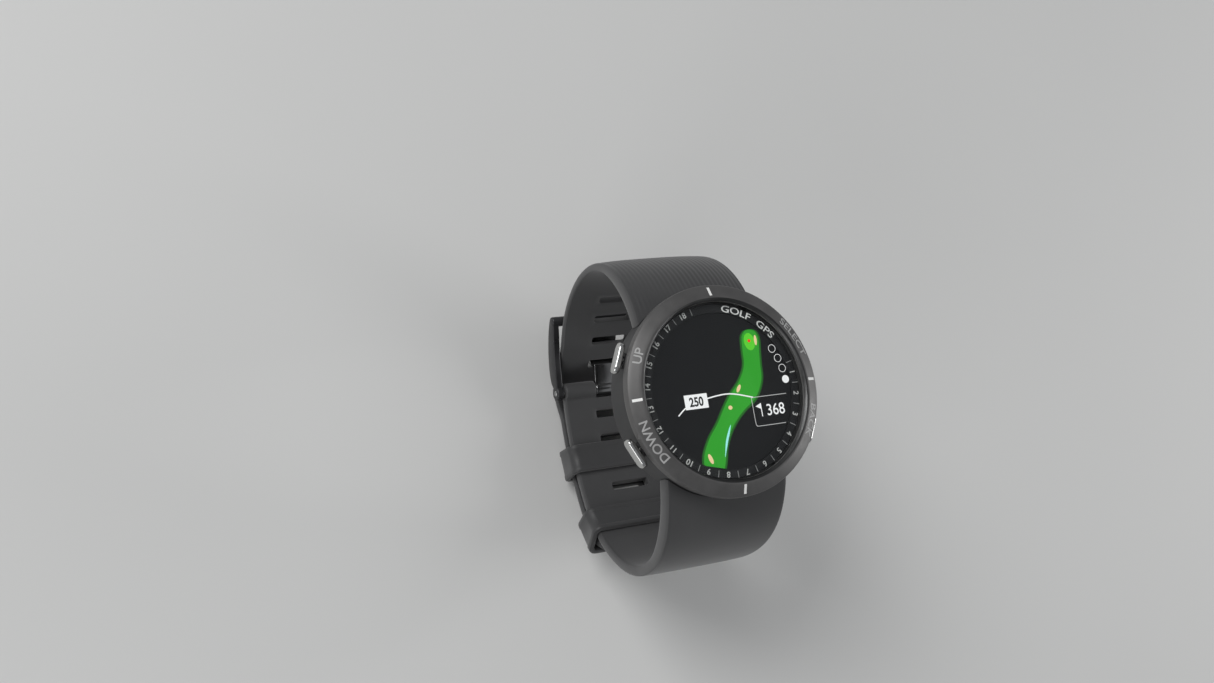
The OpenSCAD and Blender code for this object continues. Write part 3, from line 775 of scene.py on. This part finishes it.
def cone_z(r):
    """Height of the bezel's sloping face."""
    return -(r - CONE_R) / CONE_RUN if r > CONE_R else 0.0


bezel_profile = [(19.4, -1.18), (19.42, -0.62), (19.72, -0.2), (19.98, -0.03), (20.12, 0),
                 (20.42, 0), (20.56, -0.035), (21.2, cone_z(21.2)), (21.9, cone_z(21.9)),
                 (22.5, cone_z(22.5)), (22.85, -1.14), (23.1, -1.3), (23.22, -1.5),
                 (BEZEL_R, -1.8), (BEZEL_R, -3.1), (23.15, -3.5), (22.75, -4), (20.3, -4),
                 (20.3, -1.18)]
bezel_shape = Shape()
bezel_shape.lathe(bezel_profile, BEZEL_STEPS, about_dial)
bezel = piece("bezel_ring", bezel_shape, bezel_paint, "watch", ["bezel"], smooth=24)
bezel.data.materials.append(bezel_lip)
for face in bezel.data.polygons:
    middle = (face.center - DIAL) / MM
    if LIP_IN_R < math.hypot(middle.x, middle.y) < LIP_OUT_R and middle.z > LIP_LOW_Z:
        face.material_index = 1

lens_profile = [(NEAR_AXIS, -1.2), (19.9, -1.2), (20.02, -1.24), (20.1, -1.34), (20.1, -1.9),
                (20.0, -2.0), (NEAR_AXIS, -2.0)]
lens_shape = Shape()
lens_shape.lathe(lens_profile, LENS_STEPS, about_dial)
lens = piece("lens_pane", lens_shape, glass, "watch", ["lens"], smooth=24)
lens.visible_shadow = False

CAP_IN, CAP_OUT, CAP_Z, STEM_Z = 23.55, 25.1, -5.3, -5.8
CAP_L, CAP_H, CAP_END_STEPS = 7.0, 2.8, 16
STEM_STEPS = 28

# The cap as (growth of its outline, distance from the dial's axis), and the stem as (radius, same)
CAP = ((-0.3, CAP_IN), (-0.1, CAP_IN + 0.08), (0, CAP_IN + 0.25), (0, CAP_OUT - 0.55),
       (-0.06, CAP_OUT - 0.38), (-0.2, CAP_OUT - 0.24), (-0.4, CAP_OUT - 0.15),
       (-0.65, CAP_OUT - 0.09), (-0.95, CAP_OUT - 0.04), (-1.25, CAP_OUT - 0.01), (-1.38, CAP_OUT))
STEM = ((0.9, CAP_IN + 0.1), (0.9, 22.1), (0.62, 22.0), (0.62, 21.6), (0.9, 21.5), (0.9, 20.55),
        (0.6, 20.55), (0.6, 20.15), (0.85, 20.15), (0.9, 20.05), (0.9, 19.85), (0.8, 19.8))


def spoke_point(angle, across_x, r, z):
    """A point at radius r along a button's axis, across_x to its side."""
    s, c = math.sin(angle), math.cos(angle)
    return at(r * s + across_x * c, r * c - across_x * s, z)


def button(name, clockwise):
    """A steel push button: a domed face with round ends and a polished chamfer, and its stem."""
    angle = math.radians(clockwise)

    def pill(grow, r):
        radius, reach = CAP_H / 2 + grow, (CAP_L - CAP_H) / 2
        pts = []
        for side in (1, -1):
            for k in range(CAP_END_STEPS + 1):
                a = math.pi * k / CAP_END_STEPS - side * math.pi / 2
                pts.append((side * reach + radius * math.cos(a), radius * math.sin(a)))
        return [spoke_point(angle, x, r, CAP_Z + z) for x, z in pts]

    def circle(radius, r):
        turns = [2 * math.pi * k / STEM_STEPS for k in range(STEM_STEPS)]
        return [spoke_point(angle, radius * math.cos(a), r, STEM_Z + radius * math.sin(a))
                for a in turns]

    shape = Shape()
    shape.loft([pill(grow, r) for grow, r in CAP])
    shape.loft([circle(radius, r) for radius, r in STEM])
    piece(name + "_cap", shape, steel, name, [name], smooth=32)


for button_name, clockwise in (("button_up", -66), ("button_down", -116),
                               ("button_select", 66), ("button_back", 116)):
    button(button_name, clockwise)


# ---- Lettering and the number ring ----

FONT_CAPITAL = 0.72                    # the height of a capital at font size 1
BEZEL_LETTER_SUNK, BEZEL_LETTER_T = 0.02, 0.06
RING_Z = -2.05                         # the number ring's face
RING_PRINT_T = 0.03
HOLES, HOLE_STEP, FIRST_HOLE, FIRST_TICK = 18, 15, 83, 75.5      # degrees clockwise


def letters(text, height, bold=0.0, stretch=1.0):
    """A word's flat faces, centred on (0, 0), with capitals of this height: (points, faces)."""
    curve = bpy.data.curves.new("letters", "FONT")
    curve.body = text
    curve.align_x, curve.align_y = "CENTER", "BOTTOM_BASELINE"
    curve.size = 1.0
    curve.offset = bold
    curve.resolution_u = 6
    curve.fill_mode = "FRONT"
    holder = bpy.data.objects.new("letters", curve)
    bpy.context.scene.collection.objects.link(holder)
    graph = bpy.context.evaluated_depsgraph_get()
    graph.update()
    mesh = bpy.data.meshes.new_from_object(holder.evaluated_get(graph))
    bpy.data.objects.remove(holder)
    places = [(v.co.x / FONT_CAPITAL, v.co.y / FONT_CAPITAL) for v in mesh.vertices]
    points = [(x * height * stretch, y * height - height / 2) for x, y in places]
    return points, [tuple(p.vertices) for p in mesh.polygons]


def sheet(shape, points, faces, place, thickness):
    """Adds a flat figure as a thin solid: place(x, y, lift) gives a point."""
    n = len(points)
    verts = [place(x, y, thickness) for x, y in points] + [place(x, y, 0) for x, y in points]
    edges = dict.fromkeys((a, b) for f in faces for a, b in zip(f, f[1:] + f[:1]))
    walls = [(b, a, n + a, n + b) for a, b in edges if (b, a) not in edges]
    shape.add(verts, faces + [tuple(n + i for i in reversed(f)) for f in faces] + walls)


def round_place(clockwise, r_mid, surface):
    """Bends a figure round the dial, top outward; surface(r) is the height that it lies on."""
    def place(x, y, lift):
        r = r_mid + y
        a = math.radians(clockwise) + x / r_mid
        return at(r * math.sin(a), r * math.cos(a), surface(r) + lift)
    return place


def ring_place(clockwise, r_mid):
    return round_place(clockwise, r_mid, lambda r: RING_Z)


def figure(points):
    return points, [tuple(range(len(points)))]


def flat_piece(name, shape, mat):
    piece(name, shape, mat, "watch", smooth=20)


for word, clockwise in (("UP", -65), ("DOWN", -115), ("SELECT", 62.7), ("BACK", 114.6)):
    label = Shape()
    sheet(label, *letters(word, 1.75, bold=0.012, stretch=1.22),
          round_place(clockwise, 21.75, lambda r: cone_z(r) - BEZEL_LETTER_SUNK), BEZEL_LETTER_T)
    flat_piece("letters_" + word.lower(), label, letter_grey)

numbers, ticks, ring_word = Shape(), Shape(), Shape()
for k in range(HOLES):
    sheet(numbers, *letters(str(k + 1), 1.3, bold=0.015),
          ring_place(FIRST_HOLE + HOLE_STEP * k, 18.26), RING_PRINT_T)
for k in range(HOLES + 1):
    sheet(ticks, *figure([(-0.07, -0.75), (0.07, -0.75), (0.07, 0.75), (-0.07, 0.75)]),
          ring_place(FIRST_TICK + HOLE_STEP * k, 18.25), RING_PRINT_T)
sheet(ring_word, *letters("GOLF  GPS", 1.55, bold=0.008, stretch=1.4),
      ring_place(32, 18.2), RING_PRINT_T)
flat_piece("hole_numbers", numbers, print_light)
flat_piece("hole_ticks", ticks, letter_grey)
flat_piece("ring_word", ring_word, print_white)


# ---- The display's picture: a map of a hole, in flat layers ----

SCREEN_Z = -2.35
LAYER_STEP, LAYER_T = 0.012, 0.011
ROUND_STEPS = 40
LINE_W, BOX_LINE_W = 0.14, 0.07        # half widths
PAGE_R = 16.2

green = lit("fairway_green", (0.02, 0.31, 0.014), 0.85)
green_dark = lit("fairway_edge", (0.008, 0.12, 0.006), 0.8)
green_light = lit("green_light", (0.09, 0.55, 0.02), 0.9)
red = lit("pin_red", (0.75, 0.02, 0.01), 1.0)
sand = lit("bunker_sand", (0.75, 0.55, 0.3), 0.9)
water = lit("water_blue", (0.3, 0.75, 0.72), 0.9)
white = lit("screen_white", (0.8, 0.8, 0.8), 0.9)
grey = lit("screen_grey", (0.45, 0.45, 0.45), 0.9)
dark = lit("screen_dark", (0.01, 0.01, 0.01), 0.1)


def picture(name, figures, mat, layer):
    def place(x, y, lift):
        return at(x, y, SCREEN_Z + LAYER_STEP * layer + lift)

    shape = Shape()
    for points, faces in figures:
        sheet(shape, points, faces, place, LAYER_T)
    flat_piece(name, shape, mat)


def moved(flat, dx, dy):
    points, faces = flat
    return [(x + dx, y + dy) for x, y in points], faces


def oval(x, y, rx, ry, turn=0.0):
    c, s = math.cos(math.radians(turn)), math.sin(math.radians(turn))
    pts = []
    for k in range(ROUND_STEPS):
        a = 2 * math.pi * k / ROUND_STEPS
        px, py = rx * math.cos(a), ry * math.sin(a)
        pts.append((x + px * c - py * s, y + px * s + py * c))
    return figure(pts)


def ring_figure(x, y, r_out, r_in):
    n = ROUND_STEPS
    pts = [(x + r * math.cos(2 * math.pi * k / n), y + r * math.sin(2 * math.pi * k / n))
           for r in (r_out, r_in) for k in range(n)]
    return pts, [(k, (k + 1) % n, n + (k + 1) % n, n + k) for k in range(n)]


def ribbon(line, grow=0.0):
    """Quads along a line of (x, y, half width)."""
    left, right = [], []
    for k, (x, y, w) in enumerate(line):
        x0, y0, _ = line[max(k - 1, 0)]
        x1, y1, _ = line[min(k + 1, len(line) - 1)]
        d = math.hypot(x1 - x0, y1 - y0) or 1
        nx, ny = (y1 - y0) / d, -(x1 - x0) / d
        left.append((x - nx * (w + grow), y - ny * (w + grow)))
        right.append((x + nx * (w + grow), y + ny * (w + grow)))
    n = len(line)
    return left + right, [(k, k + 1, n + k + 1, n + k) for k in range(n - 1)]


def line_ribbon(points, half_w, per_step):
    return ribbon(smooth_path([(x, y, half_w) for x, y in points], per_step))


fairway = smooth_path([(9.1, 12.7, 0.5), (9.1, 12.35, 1.4), (9.1, 11.5, 2.05), (9.0, 10.2, 2.3),
                       (8.7, 7.8, 2.25), (8.4, 5.0, 2.2), (7.7, 2.2, 2.6), (5.9, -0.6, 2.75),
                       (3.4, -2.6, 2.5), (1.0, -5.0, 2.15), (-1.3, -7.9, 1.95),
                       (-3.5, -11.0, 2.35), (-4.8, -13.9, 2.75), (-5.4, -16.0, 2.6)], 6)
picture("screen_fairway_edge", [ribbon(fairway, 0.32)], green_dark, 0)
picture("screen_fairway", [ribbon(fairway, -0.16)], green, 1)
picture("screen_green", [oval(8.75, 10.0, 1.35, 1.95, 5)], green_light, 2)
picture("screen_pin", [oval(8.7, 10.2, 0.36, 0.36)], red, 3)
picture("screen_bunkers", [oval(10.35, 10.2, 0.35, 1.15, -3), oval(3.9, 0.0, 0.4, 0.95, -35),
                           oval(1.0, -3.9, 0.5, 0.45), oval(-5.95, -14.2, 0.45, 1.15, 18)],
        sand, 3)
stream = smooth_path([(0.3, -7.6, 0.05), (-0.4, -9.0, 0.22), (-1.4, -11.2, 0.25),
                      (-2.4, -14.2, 0.05)], 6)
picture("screen_stream", [ribbon(stream)], water, 3)
arc = line_ribbon([(-11.8, -4.3), (-10.1, -3.0), (-8.2, -2.2), (-4.2, -1.3), (1.4, -0.9),
                   (7.1, -2.3)], LINE_W, 6)
picture("screen_arc", [arc], white, 4)
picture("screen_label", [figure([(-9.8, -3.25), (-4.2, -3.25), (-4.2, -0.1), (-9.8, -0.1)])],
        white, 5)
picture("screen_label_250", [moved(letters("250", 1.95, bold=0.03, stretch=0.84), -7.0, -1.66)],
        dark, 6)
box = line_ribbon([(15.6, -2.34), (7.6, -2.34), (6.7, -2.5), (6.6, -3.2), (6.6, -7.9),
                   (6.85, -8.5), (7.5, -8.7), (14.2, -8.7)], BOX_LINE_W, 4)
picture("screen_box", [box], grey, 4)
picture("screen_368", [moved(letters("368", 2.55, bold=0.005, stretch=0.9), 12.2, -5.35)],
        white, 4)
picture("screen_flag", [figure([(7.25, -4.35), (8.7, -3.75), (8.7, -5.1)]),
                        figure([(8.5, -3.75), (8.72, -3.75), (8.72, -6.7), (8.5, -6.7)])],
        white, 5)

# Four pages: rings, and a full dot for the one that is shown
pages = []
for clockwise in (60.7, 69.5, 78.1):
    a = math.radians(clockwise)
    pages.append(ring_figure(PAGE_R * math.sin(a), PAGE_R * math.cos(a), 0.92, 0.81))
a = math.radians(87.1)
pages.append(oval(PAGE_R * math.sin(a), PAGE_R * math.cos(a), 0.88, 0.88))
picture("screen_pages", pages, white, 4)


# ---- Floor, light and camera, in metres ----

FLOOR_HALF, FLOOR_Z = 4, -0.0005
LIGHTS_AIM = DIAL * 0.6

floor_mesh = bpy.data.meshes.new("floor")
floor_mesh.from_pydata([(x * FLOOR_HALF, y * FLOOR_HALF, FLOOR_Z)
                        for x, y in ((-1, -1), (1, -1), (1, 1), (-1, 1))], [], [(0, 1, 2, 3)])
floor_mesh.materials.append(material("floor_pale", (0.62, 0.62, 0.61), 0.75, grain=30, bump=0.02,
                                     vary=0.015, rough_vary=0.03))
floor = bpy.data.objects.new("floor", floor_mesh)
bpy.context.scene.collection.objects.link(floor)


def softbox(name, place, size, power):
    data = bpy.data.lights.new(name, "AREA")
    data.shape = "RECTANGLE"
    data.size, data.size_y = size
    data.energy = power
    obj = bpy.data.objects.new(name, data)
    obj.location = place
    obj.rotation_mode = "QUATERNION"
    obj.rotation_quaternion = (LIGHTS_AIM - Vector(place)).to_track_quat("-Z", "Y")
    bpy.context.scene.collection.objects.link(obj)


softbox("key", (-0.6, 0.5, 0.7), (0.5, 0.5), 6.5)
softbox("fill", (-0.7, -0.45, 0.35), (0.6, 0.4), 1.9)
softbox("rim", (0.75, -0.1, 0.3), (0.4, 0.3), 2.2)

world = bpy.data.worlds.new("studio")
world.use_nodes = True
world.node_tree.nodes["Background"].inputs["Color"].default_value = (0.8, 0.82, 0.85, 1)
world.node_tree.nodes["Background"].inputs["Strength"].default_value = 0.3
bpy.context.scene.world = world

# The photo's viewing angle: the camera's own axes, and the dial's middle as the camera sees it
camera_data = bpy.data.cameras.new("camera")
camera_data.sensor_width = 36
camera_data.lens = 36
camera_data.clip_start = 0.01
camera = bpy.data.objects.new("camera", camera_data)
bpy.context.scene.collection.objects.link(camera)
back = Vector((-0.4197, -0.1462, 0.8958)).normalized()
right = Vector((0.9031, -0.1656, 0.3961))
right = (right - back * right.dot(back)).normalized()
turn = Matrix((right, back.cross(right), back)).transposed()
dial_seen = Vector((26.0, -10.1, -260.1))
camera.matrix_world = Matrix.Translation(-(turn @ dial_seen) * MM + DIAL) @ turn.to_4x4()
bpy.context.scene.camera = camera
bpy.context.scene.view_settings.view_transform = "Standard"
